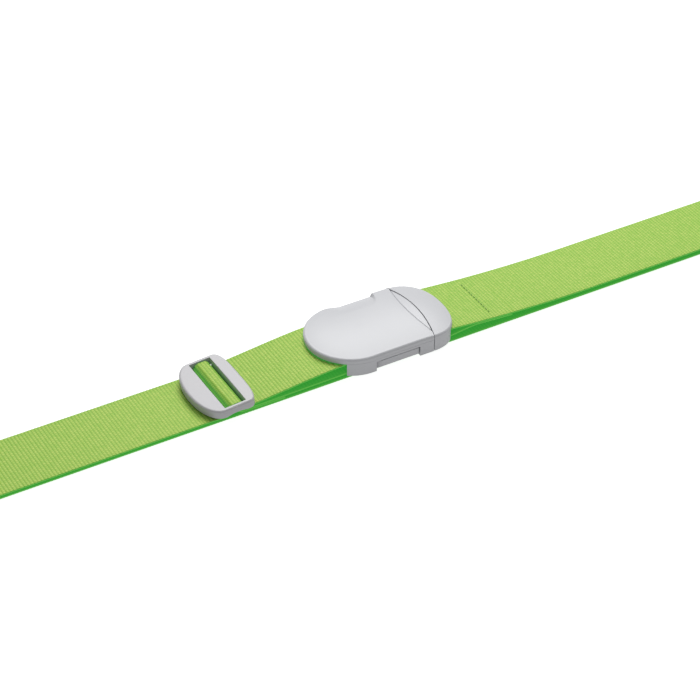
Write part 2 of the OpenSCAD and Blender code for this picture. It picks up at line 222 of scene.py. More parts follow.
def edged_copy(node: str, name: str, edge: float, trim: float = 0.0) -> bpy.types.Object:
    """Copies a CAD node's mesh into a new piece with rounded edges.

    Args:
        node: The CAD node.
        name: Name of the piece.
        edge: Width of the rounding, in millimetres.
        trim: How far its highest face is lowered, in millimetres.

    Returns:
        The new piece, which stands for the node.
    """
    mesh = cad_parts[node].data.copy()
    mesh.materials.clear()
    work = bmesh.new()
    work.from_mesh(mesh)
    bmesh.ops.remove_doubles(work, verts=work.verts, dist=WELD)
    bmesh.ops.dissolve_limit(work, angle_limit=FLAT_TURN, verts=work.verts, edges=work.edges)
    top = max(corner.co.z for corner in work.verts)
    for corner in work.verts:
        if corner.co.z > top - 0.01 * MM:
            corner.co.z -= trim * MM
    work.to_mesh(mesh)
    work.free()
    mesh.name = name
    mesh.shade_smooth()
    mesh.set_sharp_from_angle(angle=SHARP_TURN)
    piece = bpy.data.objects.new(name, mesh)
    bpy.context.scene.collection.objects.link(piece)
    bevel = piece.modifiers.new("rounded_edges", "BEVEL")
    bevel.width = edge * MM
    bevel.segments = 2
    bevel.limit_method = "ANGLE"
    bevel.angle_limit = ROUND_TURN
    bevel.use_clamp_overlap = True
    bevel.harden_normals = True
    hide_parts(node)
    return piece


def finish_piece(piece: bpy.types.Object, material: bpy.types.Material,
                 body: str | None) -> None:
    """Gives a piece its material, and makes it ride on a body unless body is None."""
    piece.data.materials.append(material)
    if body is not None:
        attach(piece, body)
    LOG.info("%s: %d faces", piece.name, len(piece.data.polygons))


# ---------------------------------------------------------------- finishes


class Nodes:
    """A short way to lay out shader nodes in one tree."""

    def __init__(self, tree: bpy.types.NodeTree) -> None:
        """Empties the tree and keeps it."""
        self.tree = tree
        tree.nodes.clear()

    def add(self, kind: str, **settings: object) -> bpy.types.Node:
        """Adds a node and sets its properties, and its input sockets where the value is a dict."""
        node = self.tree.nodes.new(kind)
        for key, value in settings.items():
            if key == "inputs":
                for socket, number in value.items():
                    node.inputs[socket].default_value = number
            else:
                setattr(node, key, value)
        return node

    def join(self, out: bpy.types.NodeSocket, into: bpy.types.NodeSocket) -> None:
        """Links an output to an input."""
        self.tree.links.new(out, into)

    def math(self, kind: str, a: object, b: object = None) -> bpy.types.NodeSocket:
        """A Math node of two sockets or numbers, and its output."""
        node = self.add("ShaderNodeMath", operation=kind)
        for place, value in enumerate((a, b)):
            if isinstance(value, bpy.types.NodeSocket):
                self.join(value, node.inputs[place])
            elif value is not None:
                node.inputs[place].default_value = value
        return node.outputs[0]

    def mix(self, share: object, a: object, b: object) -> bpy.types.NodeSocket:
        """Mixes two colours, each a socket or a tuple, by a share, and gives the colour."""
        node = self.add("ShaderNodeMix", data_type="RGBA")
        for socket, value in ((node.inputs[0], share), (node.inputs[6], a), (node.inputs[7], b)):
            if isinstance(value, bpy.types.NodeSocket):
                self.join(value, socket)
            else:
                socket.default_value = value
        return node.outputs[2]

    def bump(self, height: bpy.types.NodeSocket, strength: float, depth: float,
             shader: bpy.types.Node) -> None:
        """Raises the shader's surface by a height whose full scale is depth, in millimetres."""
        node = self.add("ShaderNodeBump", inputs={"Strength": strength, "Distance": depth * MM})
        self.join(height, node.inputs["Height"])
        self.join(node.outputs["Normal"], shader.inputs["Normal"])

    def effect(self, group: bpy.types.NodeTree, **values: float) -> dict[str, bpy.types.NodeSocket]:
        """Places a shared effect with its own values, and gives its outputs by name."""
        node = self.add("ShaderNodeGroup", node_tree=group)
        for socket, number in values.items():
            node.inputs[socket.replace("_", " ")].default_value = number
        return {out.name: out for out in node.outputs}


def new_material(name: str,
                 inputs: dict[str, object]) -> tuple[bpy.types.Material, Nodes, bpy.types.Node]:
    """A new material with one Principled shader joined to its output.

    Args:
        name: Name of the material.
        inputs: Values on the shader's own sockets.

    Returns:
        The material, its node layout and the shader.
    """
    material = bpy.data.materials.new(name)
    material.use_nodes = True
    kit = Nodes(material.node_tree)
    out = kit.add("ShaderNodeOutputMaterial")
    shader = kit.add("ShaderNodeBsdfPrincipled", inputs=inputs)
    kit.join(shader.outputs[0], out.inputs[0])
    return material, kit, shader


def effect_group(name: str, ins: dict[str, float],
                 outs: Sequence[str]) -> tuple[bpy.types.NodeTree, Nodes]:
    """A new shader node group whose inputs are numbers and whose outputs are values.

    Args:
        name: Name of the group.
        ins: Input names and their default numbers.
        outs: Output names.

    Returns:
        The group and its node layout, empty but for the sockets.
    """
    tree = bpy.data.node_groups.new(name, "ShaderNodeTree")
    for socket, number in ins.items():
        made = tree.interface.new_socket(socket, in_out="INPUT", socket_type="NodeSocketFloat")
        made.default_value = number
    for socket in outs:
        tree.interface.new_socket(socket, in_out="OUTPUT", socket_type="NodeSocketFloat")
    return tree, Nodes(tree)


def mould_group() -> bpy.types.NodeTree:
    """Fine moulded grain: a speckle and a slow cloudiness, both from noise on object coordinates."""
    tree, kit = effect_group("mould_grain", {"Grain": 2500.0, "Cloud": 40.0}, ["Speckle", "Cloudiness"])
    ins, outs = kit.add("NodeGroupInput"), kit.add("NodeGroupOutput")
    place = kit.add("ShaderNodeTexCoord").outputs["Object"]
    for socket, result, detail in (("Grain", "Speckle", 2.0), ("Cloud", "Cloudiness", 3.0)):
        noise = kit.add("ShaderNodeTexNoise", inputs={"Detail": detail, "Roughness": 0.55})
        kit.join(place, noise.inputs["Vector"])
        kit.join(ins.outputs[socket], noise.inputs["Scale"])
        kit.join(noise.outputs["Fac"], outs.inputs[result])
    return tree


def weave_group() -> bpy.types.NodeTree:
    """Ribbed weave from the piece's own weave attribute, which holds millimetres along and across.

    A rib is the size of a sine along the webbing, raised to a power that broadens its crest.
    A yarn is the size of a sine across it, shifted by half a yarn on every second rib.
    """
    tree, kit = effect_group(
        "rib_weave", {"Rib pitch": 2.31, "Yarn pitch": 1.9}, ["Rib", "Yarn", "Glint cell", "Side shade", "Sky"])
    ins, outs = kit.add("NodeGroupInput"), kit.add("NodeGroupOutput")
    place = kit.add("ShaderNodeAttribute", attribute_name="weave", attribute_type="GEOMETRY")
    split = kit.add("ShaderNodeSeparateXYZ")
    kit.join(place.outputs["Vector"], split.inputs[0])
    along, across = split.outputs[0], split.outputs[1]
    ribs = kit.math("DIVIDE", along, ins.outputs["Rib pitch"])
    rib = kit.math("ABSOLUTE", kit.math("SINE", kit.math("MULTIPLY", ribs, math.pi)))
    kit.join(kit.math("POWER", rib, 0.7), outs.inputs["Rib"])
    shift = kit.math("MULTIPLY", kit.math("FLOOR", ribs), 0.5)
    yarns = kit.math("ADD", kit.math("DIVIDE", across, ins.outputs["Yarn pitch"]), shift)
    yarn = kit.math("ABSOLUTE", kit.math("SINE", kit.math("MULTIPLY", yarns, math.pi)))
    kit.join(yarn, outs.inputs["Yarn"])
    cell = kit.add("ShaderNodeCombineXYZ")
    kit.join(kit.math("FLOOR", ribs), cell.inputs[0])
    kit.join(kit.math("FLOOR", yarns), cell.inputs[1])
    # Random value per yarn cell, which places the painted glints.
    painted_glint = kit.add("ShaderNodeTexWhiteNoise", noise_dimensions="3D")
    kit.join(cell.outputs[0], painted_glint.inputs["Vector"])
    kit.join(painted_glint.outputs["Value"], outs.inputs["Glint cell"])
    # Painted side shade mask: the webbing's rounded sides near its edges.
    edge = kit.add("ShaderNodeMapRange", interpolation_type="SMOOTHSTEP",
                   inputs={"From Min": 24.2, "From Max": 24.9})
    kit.join(kit.math("ABSOLUTE", across), edge.inputs["Value"])
    kit.join(edge.outputs["Result"], outs.inputs["Side shade"])
    # Sky: how far a face looks up, nought beneath another layer; it switches the cloth between painted lit
    # and painted shade colours.
    sky = kit.add("ShaderNodeMapRange", interpolation_type="SMOOTHSTEP",
                  inputs={"From Min": 0.25, "From Max": 0.95})
    kit.join(split.outputs[2], sky.inputs["Value"])
    kit.join(sky.outputs["Result"], outs.inputs["Sky"])
    return tree


@dataclass(frozen=True)
class MouldedPlastic:
    """Satin silver-grey plastic with a fine mould grain."""

    name: str
    colour: tuple[float, float, float, float]
    roughness: float = 0.4
    swing: float = 0.06
    cloud: float = 0.95
    bump_mm: float = 0.012

    def build(self, grain: bpy.types.NodeTree) -> bpy.types.Material:
        """Makes the material: a cloudy tone on the colour, a speckled roughness and a faint bump."""
        material, kit, shader = new_material(self.name, {"IOR": 1.47, "Specular IOR Level": 0.5})
        effect = kit.effect(grain, Grain=2500.0, Cloud=40.0)
        deeper = tuple(self.cloud * c for c in self.colour[:3]) + (1.0,)
        kit.join(kit.mix(effect["Cloudiness"], self.colour, deeper), shader.inputs["Base Color"])
        rough = kit.add("ShaderNodeMapRange", inputs={
            "To Min": self.roughness - self.swing, "To Max": self.roughness + self.swing})
        kit.join(effect["Speckle"], rough.inputs["Value"])
        kit.join(rough.outputs["Result"], shader.inputs["Roughness"])
        kit.bump(effect["Speckle"], 0.35, self.bump_mm, shader)
        return material


@dataclass(frozen=True)
class RibbedWebbing:
    """Ribbed polyester webbing with painted light: yellow-green on its crests and deeper green in its
    grooves where its faces look up, and painted shade, with a painted glow, where they don't.
    """

    # Lit colours, used only where the sky is high; the groove's deeper green is painted shade between the
    # ribs.
    crest: tuple[float, float, float, float] = (0.235, 0.460, 0.055, 1.0)
    groove: tuple[float, float, float, float] = (0.110, 0.340, 0.035, 1.0)
    # Colour of painted glints on the yarn crests, shown on lit faces only.
    painted_glint: tuple[float, float, float, float] = (0.420, 0.540, 0.120, 1.0)
    # Painted shade colour of the webbing's sides, and of crests where the sky is low.
    edge: tuple[float, float, float, float] = (0.105, 0.430, 0.052, 1.0)
    # Painted shade colour of grooves where the sky is low.
    shade: tuple[float, float, float, float] = (0.060, 0.330, 0.035, 1.0)
    # Colour and strength of a painted glow where the sky is low, standing in for light through the cloth.
    through: tuple[float, float, float, float] = (0.13, 1.0, 0.16, 1.0)
    painted_glow_strength: float = 0.17
    rib_mm: float = 2.31
    yarn_mm: float = 1.9
    bump_mm: float = 0.16

    def build(self, weave: bpy.types.NodeTree) -> bpy.types.Material:
        """Makes the material: groove to crest by rib and yarn, painted glints and painted side shade.

        Where the weave's sky is low, the colour is painted shade, a deeper green, with a faint painted
        glow as of light through the cloth.
        """
        material, kit, shader = new_material("ribbed_webbing", {
            "Roughness": 0.5, "IOR": 1.6, "Specular IOR Level": 0.5, "Specular Tint": (1.0, 0.8, 0.3, 1.0),
            "Sheen Weight": 0.05, "Sheen Roughness": 0.4, "Emission Strength": self.painted_glow_strength})
        effect = kit.effect(weave, Rib_pitch=self.rib_mm, Yarn_pitch=self.yarn_mm)
        rib, yarn, sky = effect["Rib"], effect["Yarn"], effect["Sky"]
        lift = kit.math("MULTIPLY", rib, kit.math("ADD", kit.math("MULTIPLY", yarn, 0.35), 0.65))
        body = kit.mix(lift, self.groove, self.crest)
        # Painted glints on random yarn cells of the crests.
        spark = kit.math("MULTIPLY", kit.math("MULTIPLY", effect["Glint cell"], yarn), rib)
        body = kit.mix(kit.math("MULTIPLY", spark, 0.6), body, self.painted_glint)
        # Painted shade: where the sky is low, the shade and edge colours take over from the lit ones.
        body = kit.mix(sky, kit.mix(lift, self.shade, self.edge), body)
        # Painted side shade on the webbing's edges.
        body = kit.mix(effect["Side shade"], body, self.edge)
        kit.join(body, shader.inputs["Base Color"])
        # Painted glow: emission where the sky is low.
        kit.join(kit.mix(sky, self.through, (0.0, 0.0, 0.0, 1.0)), shader.inputs["Emission Color"])
        kit.bump(kit.math("MULTIPLY", rib, yarn), 0.7, self.bump_mm, shader)
        return material


@dataclass(frozen=True)
class SewingThread:
    """Twisted polyester thread, a little deeper than the webbing."""

    light: tuple[float, float, float, float] = (0.24, 0.44, 0.06, 1.0)
    dark: tuple[float, float, float, float] = (0.13, 0.30, 0.03, 1.0)
    bump_mm: float = 0.1

    def build(self) -> bpy.types.Material:
        """Makes the material: slanting bands on object coordinates for the twist."""
        material, kit, shader = new_material("sewing_thread", {"Roughness": 0.55, "Sheen Weight": 0.15})
        place = kit.add("ShaderNodeTexCoord").outputs["Object"]
        twist = kit.add("ShaderNodeTexWave", wave_type="BANDS", bands_direction="DIAGONAL",
                        inputs={"Scale": 600.0, "Distortion": 0.5})
        kit.join(place, twist.inputs["Vector"])
        kit.join(kit.mix(twist.outputs["Fac"], self.dark, self.light), shader.inputs["Base Color"])
        kit.bump(twist.outputs["Fac"], 0.6, self.bump_mm, shader)
        return material


@dataclass(frozen=True)
class StudioFloor:
    """Plain pale floor with a barely visible grain, which glows less for the strap than for the eye."""

    colour: tuple[float, float, float, float] = (0.35, 0.35, 0.35, 1.0)
    glow: float = 0.9
    bounce: float = 0.60
    cloud: float = 0.99

    def build(self, grain: bpy.types.NodeTree) -> bpy.types.Material:
        """Makes the material: the colour with a cloudy tone, and no gloss."""
        material, kit, shader = new_material("studio_floor", {
            "Roughness": 0.9, "Specular IOR Level": 0.1, "Emission Strength": self.glow})
        seen = kit.add("ShaderNodeLightPath").outputs["Is Camera Ray"]
        dim = (self.bounce,) * 3 + (1.0,)
        kit.join(kit.mix(seen, dim, (1.0, 1.0, 1.0, 1.0)), shader.inputs["Emission Color"])
        effect = kit.effect(grain, Grain=300.0, Cloud=3.0)
        deeper = tuple(self.cloud * c for c in self.colour[:3]) + (1.0,)
        kit.join(kit.mix(effect["Cloudiness"], self.colour, deeper), shader.inputs["Base Color"])
        return material


# ---------------------------------------------------------------- webbing


@dataclass(frozen=True)
class Belt:
    """The webbing, as spans of one belt that follow the paths of their CAD nodes.

    The gaps are clear heights: left_gap and right_gap between the lower and the upper run, layer_gap
    between sewn layers, and stack_gap and run_gap beneath and above them at the slider. The splits
    are the x at which one span ends and the next begins. relief is how high a rib stands, and
    scallop how far the edge draws in at a groove.
    """

    web_w: float = 50.0
    web_t: float = 1.2
    loop_len: float = 920.0
    left_gap: float = 1.0
    right_gap: float = 2.4
    fold_r: float = 4.4
    slider_tail: float = 36.0
    buckle_tail: float = 54.0
    layer_gap: float = 0.1
    stack_gap: float = 0.35
    run_gap: float = 0.3
    fold_low: float = 25.0
    fold_top: float = 50.0
    left_split: float = -300.0
    low_split: float = 20.0
    right_split: float = 310.0
    rib_pitch: float = 2.31
    relief: float = 0.09
    rib_power: float = 0.8
    scallop: float = 0.22
    step: float = 0.33
    flat_points: int = 13
    edge_points: int = 6

    @property
    def half(self) -> float:
        """Half the webbing's thickness."""
        return self.web_t / 2

    @property
    def pitch(self) -> float:
        """Height from one layer of webbing to the next."""
        return self.web_t + self.layer_gap

    @property
    def z_low(self) -> float:
        """Middle height of the lower run."""
        return self.half

    @property
    def z_left(self) -> float:
        """Middle height of the upper run left of the slider."""
        return self.web_t + self.left_gap + self.half

    @property
    def z_right(self) -> float:
        """Middle height of the upper run at the right."""
        return self.web_t + self.right_gap + self.half

    @property
    def z_tail(self) -> float:
        """Middle height of the sewn tail at the slider."""
        return self.web_t + self.stack_gap + self.half

    @property
    def z_sewn(self) -> float:
        """Middle height of the sewn layer."""
        return self.z_tail + self.pitch

    @property
    def z_run(self) -> float:
        """Middle height of the running layer just above the sewn one."""
        return self.z_sewn + self.pitch + self.run_gap

    @property
    def fold_c(self) -> float:
        """Distance of each fold's centre from the origin."""
        return self.loop_len / 2 - self.fold_r - self.half

    @property
    def fold_low_x(self) -> float:
        """Where a fold's span meets the lower run, as a distance from the origin."""
        return self.fold_c - self.fold_low

    @property
    def fold_top_x(self) -> float:
        """Where a fold's span meets the upper run, as a distance from the origin."""
        return self.fold_c - self.fold_top


@dataclass(frozen=True)
class SpanPlan:
    """One span of webbing: its node, path, and how it is carried.

    along is the length of belt taken to lie before it, which sets where its ribs fall. blend holds
    the two bodies that it is stretched between and the x at which it meets each. covered is the
    share of it, from its start, that lies beneath another layer and is painted in shade, and by_cover
    is true where the buckle's cover shade is painted on it.
    """

    node: str
    path: np.ndarray
    along: float
    hold: Hold
    body: str | None = None
    blend: tuple[str, str, float, float] | None = None
    soften: float = 0.0
    covered: float = 0.0
    by_cover: bool = False


class Webbing:
    """Builds every span of the belt as a closed ribbed band."""

    def __init__(self, belt: Belt, buckle: "BuckleSizes", slider: "SliderSizes") -> None:
        """Keeps the sizes of the belt and of the two things that it runs through."""
        self.belt = belt
        self.buckle = buckle
        self.slider = slider

    # -- paths --

    def top_at(self, n: int, x0: float, x1: float) -> np.ndarray:
        """The top layer between slider and buckle from x0 to x1, at n steps."""
        b, k, s = self.belt, self.buckle, self.slider
        start, end = [s.wave_x1, b.z_run + s.wave_lift], [k.bar_x, k.bar_z + k.wrap_r]
        whole = glide(start, end, s.top_slope, 0.0, GUIDE_STEPS)
        x = np.linspace(x0, x1, n + 1)
        return np.column_stack([x, np.interp(x, whole[:, 0], whole[:, 1])])

    def sewn_at(self, n: int, x0: float, x1: float) -> np.ndarray:
        """The sewn layer beneath the top layer from x0 to x1, at n steps."""
        b, s = self.belt, self.slider
        end = [self.buckle.wrap_x, b.z_sewn + self.buckle.wrap_lift]
        whole = glide([s.wave_x1, b.z_sewn], end, 0.0, 0.0, GUIDE_STEPS)
        x = np.linspace(x0, x1, n + 1)
        return np.column_stack([x, np.interp(x, whole[:, 0], whole[:, 1])])

    def right_at(self, x: np.ndarray) -> np.ndarray:
        """Height of the upper run right of the buckle, which settles to z_right."""
        k, b = self.buckle, self.belt
        start, end = [k.male_bar_x, k.bar_z + k.wrap_r], [k.settle_x, b.z_right]
        whole = glide(start, end, k.male_slope, 0.0, GUIDE_STEPS)
        return np.interp(x, whole[:, 0], whole[:, 1])

    def sewn_top(self, x: float) -> float:
        """Height of the sewn layer's upper face at x."""
        path = self.sewn_at(60, self.slider.wave_x1, self.buckle.wrap_x)
        return float(np.interp(x, path[:, 0], path[:, 1])) + self.belt.half

    def right_top(self, x: float) -> float:
        """Height of the upper face of the run right of the buckle at x."""
        return float(self.right_at(np.array([x]))[0]) + self.belt.half

    def fold(self, side: int) -> np.ndarray:
        """The end fold on the left, for side -1, or on the right, for side 1."""
        b = self.belt
        z_end = b.z_left if side < 0 else b.z_right
        turn = arc([b.fold_c, b.z_low + b.fold_r], b.fold_r, -90, 90, 80)
        back = glide([b.fold_c, b.z_low + 2 * b.fold_r], [b.fold_top_x, z_end], 0, 0, 80)
        path = np.vstack([[[b.fold_low_x, b.z_low]], turn, back])
        return path * [side, 1]

    def wave(self) -> np.ndarray:
        """Over the slider's wrapped bar: up beside the left plate and down under the right bar."""
        b, s = self.belt, self.slider
        end = [s.wave_x1, b.z_run + s.wave_lift]
        rise_x, low, right_low = -s.ramp_x - s.ramp_lead, s.rise_z - s.rise_r, s.fall_z - s.fall_r
        left = s.place(np.array([[rise_x, low]]))[0]
        right = s.place(np.array([[s.drop_x, right_low]]))[0]
        return np.vstack([
            [[s.wave_x0, b.z_left]],
            glide([s.wave_x0 + s.wave_flat, b.z_left], left, 0, s.lean, 30),
            s.place(arc([rise_x, low + s.ramp_r], s.ramp_r, -90, -35, 30)),
            s.place(arc([-s.loop_hx, -s.bar_drop], s.over_r, 145, 90, 30)),
            s.place(arc([s.loop_hx + s.over_lead, -s.bar_drop], s.over_r, 90, 20, 30)),
            s.place(arc([s.drop_x, right_low + s.drop_r], s.drop_r, 200, 270, 30)),
            glide(right, end, s.lean, s.wave_slope, 30)])

    def slider_loop(self) -> np.ndarray:
        """The sewn loop round the slider's bar, from its tail to the sewn layer."""
        b, s = self.belt, self.slider
        turn = [s.over_hx + s.fall_r, s.fall_z]
        below = s.fall_z - s.fall_r - b.pitch
        tail, leg = s.place(np.array([[turn[0], below - b.pitch], [turn[0], below]]))
        return np.vstack([
            [[-s.x + b.slider_tail, b.z_tail]],
            glide([s.wave_x1, b.z_tail], tail, 0, s.lean, 30),
            s.place(arc(turn, s.fall_r + 2 * b.pitch, 270, 205, 30)),
            s.place(arc([-s.loop_hx, -s.bar_drop], s.loop_r, 270, 90, 60)),
            s.place(arc([s.loop_hx, -s.bar_drop], s.loop_r, 90, 0, 40)),
            s.place(arc(turn, s.fall_r + b.pitch, 180, 270, 40)),
            glide(leg, [s.wave_x1, b.z_sewn], s.lean, 0, 30),
            self.sewn_at(40, s.wave_x1 + 2 * LAP, s.sewn_x)])

    def female_wrap(self) -> np.ndarray:
        """Round the socket half's bar, from the top layer to the sewn layer."""
        k, b = self.buckle, self.belt
        return np.vstack([
            self.top_at(30, k.wrap_x, k.bar_x),
            arc([k.bar_x, k.bar_z], k.wrap_r, 90, -90, 80),
            [[k.wrap_x, b.z_sewn + k.wrap_lift]]])

    def male_loop(self) -> np.ndarray:
        """The sewn loop round the clip half's bar, from its tail to the upper run."""
        k, b = self.buckle, self.belt
        tail_x, low_x = k.male_bar_x + b.buckle_tail, k.male_bar_x + k.male_taper
        under = np.linspace(tail_x, low_x, 40)
        upper = np.linspace(k.male_bar_x, tail_x + LAP, 80)
        low_z = float(self.right_at(np.array([low_x]))[0]) - b.pitch
        return np.vstack([
            np.column_stack([under, self.right_at(under) - b.pitch]),
            glide([low_x, low_z], [k.male_bar_x, k.bar_z - k.wrap_r], k.tail_slope, 0, 50),
            arc([k.male_bar_x, k.bar_z], k.wrap_r, 270, 90, 80),
            np.column_stack([upper, self.right_at(upper)])])

    # -- bands --

    def band(self, plan: SpanPlan) -> bpy.types.Object:
        """Makes one span as a closed band.

        Each station of the path carries one flat oval: straight top and bottom with round edges.
        The relief is the size of a sine of the length, high on a rib and nought in a groove, and the
        underside's ribs lie half a pitch along. The edges draw in a little at each groove. The sky
        at a point is how far its face looks up, or nought beneath another layer or the cover; where it
        is low, the material paints shade.

        Args:
            plan: The span.

        Returns:
            The span's mesh object, with its weave attribute.
        """
        b = self.belt
        path = even_path(plan.path, b.step, plan.soften)
        run = np.concatenate([[0.0], np.cumsum(np.linalg.norm(np.diff(path, axis=0), axis=1))])
        along = plan.along + run
        slope = np.gradient(path, axis=0)
        slope /= np.linalg.norm(slope, axis=1)[:, None]
        out = np.column_stack([-slope[:, 1], slope[:, 0]])
        out[0], out[-1] = [0, np.sign(out[0, 1])], [0, np.sign(out[-1, 1])]
        rib = np.abs(np.sin(np.pi * along / b.rib_pitch)) ** b.rib_power
        under = np.abs(np.cos(np.pi * along / b.rib_pitch)) ** b.rib_power
        edge_r = b.half - b.relief
        flat = np.linspace(-1, 1, b.flat_points) * (b.web_w / 2 - edge_r)
        turn = np.radians(np.linspace(90, -90, b.edge_points + 2))[1:-1]
        across = np.concatenate([flat, flat[-1] + edge_r * np.cos(turn),
                                 flat[::-1], flat[0] - edge_r * np.cos(turn)])
        lift = np.concatenate([np.ones_like(flat), np.sin(turn), -np.ones_like(flat), -np.sin(turn)])
        # Painted shade mask: the covered share of a span, and webbing beneath the cover's left end up to
        # its rim, get no sky.
        lit = np.clip((run / run[-1] - plan.covered) / FADE + 1, 0, 1)[:, None]
        if plan.by_cover:
            k = self.buckle
            near = np.hypot(path[:, 0, None] / k.left_reach, across[None, :] / k.half_w)
            lit = lit * smooth(*k.shade_edge, near)
        open_sky = np.clip(out[:, 1, None] * lift[None, :], 0, 1) * lit
        width = 1 - b.scallop * (1 - rib[:, None]) * 2 / b.web_w
        raised = np.where(lift[None, :] > 0, rib[:, None], under[:, None])
        thick = lift[None, :] * (edge_r + b.relief * raised * np.abs(lift[None, :]))
        y = across[None, :] * width
        points = np.stack([
            path[:, 0, None] + out[:, 0, None] * thick, y,
            path[:, 1, None] + out[:, 1, None] * thick], axis=-1)
        rows, cols = y.shape
        faces = grid_faces(rows, cols).tolist()
        faces.append(list(range(cols)))
        faces.append(list(range((rows - 1) * cols, rows * cols))[::-1])
        piece = mesh_piece("band_" + plan.node, points.reshape(-1, 3), faces, FABRIC_SHARP)
        if len(piece.data.vertices) != rows * cols:
            raise ValueError(f"{plan.node}: points of the band were merged")
        weave = piece.data.attributes.new("weave", "FLOAT_VECTOR", "POINT")
        told = np.stack([np.broadcast_to(along[:, None], y.shape), y, open_sky], axis=-1)
        weave.data.foreach_set("vector", told.astype(np.float32).ravel())
        return piece

    def plans(self) -> list[SpanPlan]:
        """Every span, in order along the belt."""
        b, k, s = self.belt, self.buckle, self.slider
        low_x, top_x = b.fold_low_x, b.fold_top_x
        right = np.linspace(k.tail_x + LAP, b.right_split, 200)
        strap = "strap"
        return [
            SpanPlan("webbing_slider_loop", self.slider_loop(), 0, Hold.FOLDED, "slider", soften=1.0,
                     covered=COVERED),
            SpanPlan("webbing_sewn_layer", self.sewn_at(60, s.sewn_x, k.wrap_x), 60, Hold.LAID,
                     blend=("slider", strap, s.sewn_x, k.wrap_x), covered=COVERED),
            SpanPlan("webbing_female_wrap", self.female_wrap()[::-1], 100, Hold.FOLDED, strap,
                     covered=0.5, by_cover=True),
            SpanPlan("webbing_top_layer", self.top_at(100, s.wave_x1, k.wrap_x), 140, Hold.STRETCHED,
                     blend=("slider", strap, s.wave_x1, k.wrap_x), by_cover=True),
            SpanPlan("webbing_slider_wave", self.wave(), 200, Hold.FOLDED, "slider", soften=1.0),
            SpanPlan("webbing_left_near", straight(b.left_split, s.wave_x0, b.z_left), 300, Hold.LAID,
                     blend=(strap, "slider", b.left_split, s.wave_x0)),
            SpanPlan("webbing_left_far", straight(-top_x, b.left_split, b.z_left), 500, Hold.LAID,
                     blend=("left_fold", strap, -top_x, b.left_split)),
            SpanPlan("webbing_left_fold", self.fold(-1), 620, Hold.FOLDED, "left_fold", covered=0.33),
            SpanPlan("webbing_lower_left", straight(-low_x, b.low_split, b.z_low), 700, Hold.LAID,
                     blend=("left_fold", strap, -low_x, b.low_split), covered=COVERED),
            SpanPlan("webbing_lower_right", straight(b.low_split, low_x, b.z_low), 1150, Hold.LAID,
                     blend=(strap, "right_fold", b.low_split, low_x), covered=COVERED),
            SpanPlan("webbing_right_fold", self.fold(1), 1560, Hold.FOLDED, "right_fold", covered=0.33),
            SpanPlan("webbing_right_far", straight(b.right_split, top_x, b.z_right), 1650, Hold.LAID,
                     blend=(strap, "right_fold", b.right_split, top_x)),
            SpanPlan("webbing_right_near", np.column_stack([right, self.right_at(right)]), 1750,
                     Hold.STRETCHED, blend=("clip_half", strap, k.tail_x + LAP, b.right_split)),
            SpanPlan("webbing_male_loop", self.male_loop(), 1950, Hold.FOLDED, "clip_half", soften=0.8,
                     covered=0.45),
        ]

    def build(self, material: bpy.types.Material) -> None:
        """Makes and dresses every span, and hides its CAD node."""
        for plan in self.plans():
            piece = self.band(plan)
            finish_piece(piece, material, plan.body)
            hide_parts(plan.node)
            if plan.blend is not None:
                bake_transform(piece)


# ---------------------------------------------------------------- slider


@dataclass(frozen=True)
class SliderSizes:
    """Sizes of the three-bar slider, in its own tilted frame, whose origin is above the centre bar.

    The frame reaches plate_x to the left and rear_x to the right, and its slots together are slot_hx
    and slot_hy each way. The centre bar hangs bar_drop beneath the origin. The sewn loop goes round
    it at loop_r and the running webbing round that at over_r. The rise and fall are the turns of the
    webbing in the left and right slots, and the ramp and drop where the running webbing meets them.
    """

    x: float = 98.0
    tilt: float = 4.0
    z: float = 8.578
    slot_hx: float = 7.5
    slot_hy: float = 25.5
    frame_hy: float = 28.2
    up: float = 3.0
    down: float = 3.2
    plate_x: float = 21.3
    rear_x: float = 16.2
    shoulder: float = 8.0
    bar_ht: float = 2.2
    bar_drop: float = 1.3
    loop_hx: float = 1.1
    loop_r: float = 1.85
    over_r: float = 3.15
    over_hx: float = 4.25
    rise_r: float = 2.2
    rise_z: float = -3.128
    fall_r: float = 1.6
    fall_z: float = -2.4
    over_lead: float = 1.2
    ramp_x: float = 8.19
    ramp_lead: float = 0.93
    ramp_r: float = 2.6
    drop_x: float = 8.04
    drop_r: float = 2.0
    wave_x0: float = -121.0
    wave_flat: float = 6.0
    wave_x1: float = -80.0
    wave_lift: float = 0.65
    wave_slope: float = 0.06
    top_slope: float = 0.09
    sewn_x: float = -60.0
    stitch_in: float = 8.0

    @property
    def lean(self) -> float:
        """The tilt as a slope."""
        return math.tan(math.radians(self.tilt))

    def place(self, p: np.ndarray) -> np.ndarray:
        """Turns points, as x and z in the slider's frame, by its tilt and moves them to the part's."""
        c, s = math.cos(math.radians(self.tilt)), math.sin(math.radians(self.tilt))
        return np.column_stack([-self.x + p[:, 0] * c - p[:, 1] * s, self.z + p[:, 0] * s + p[:, 1] * c])


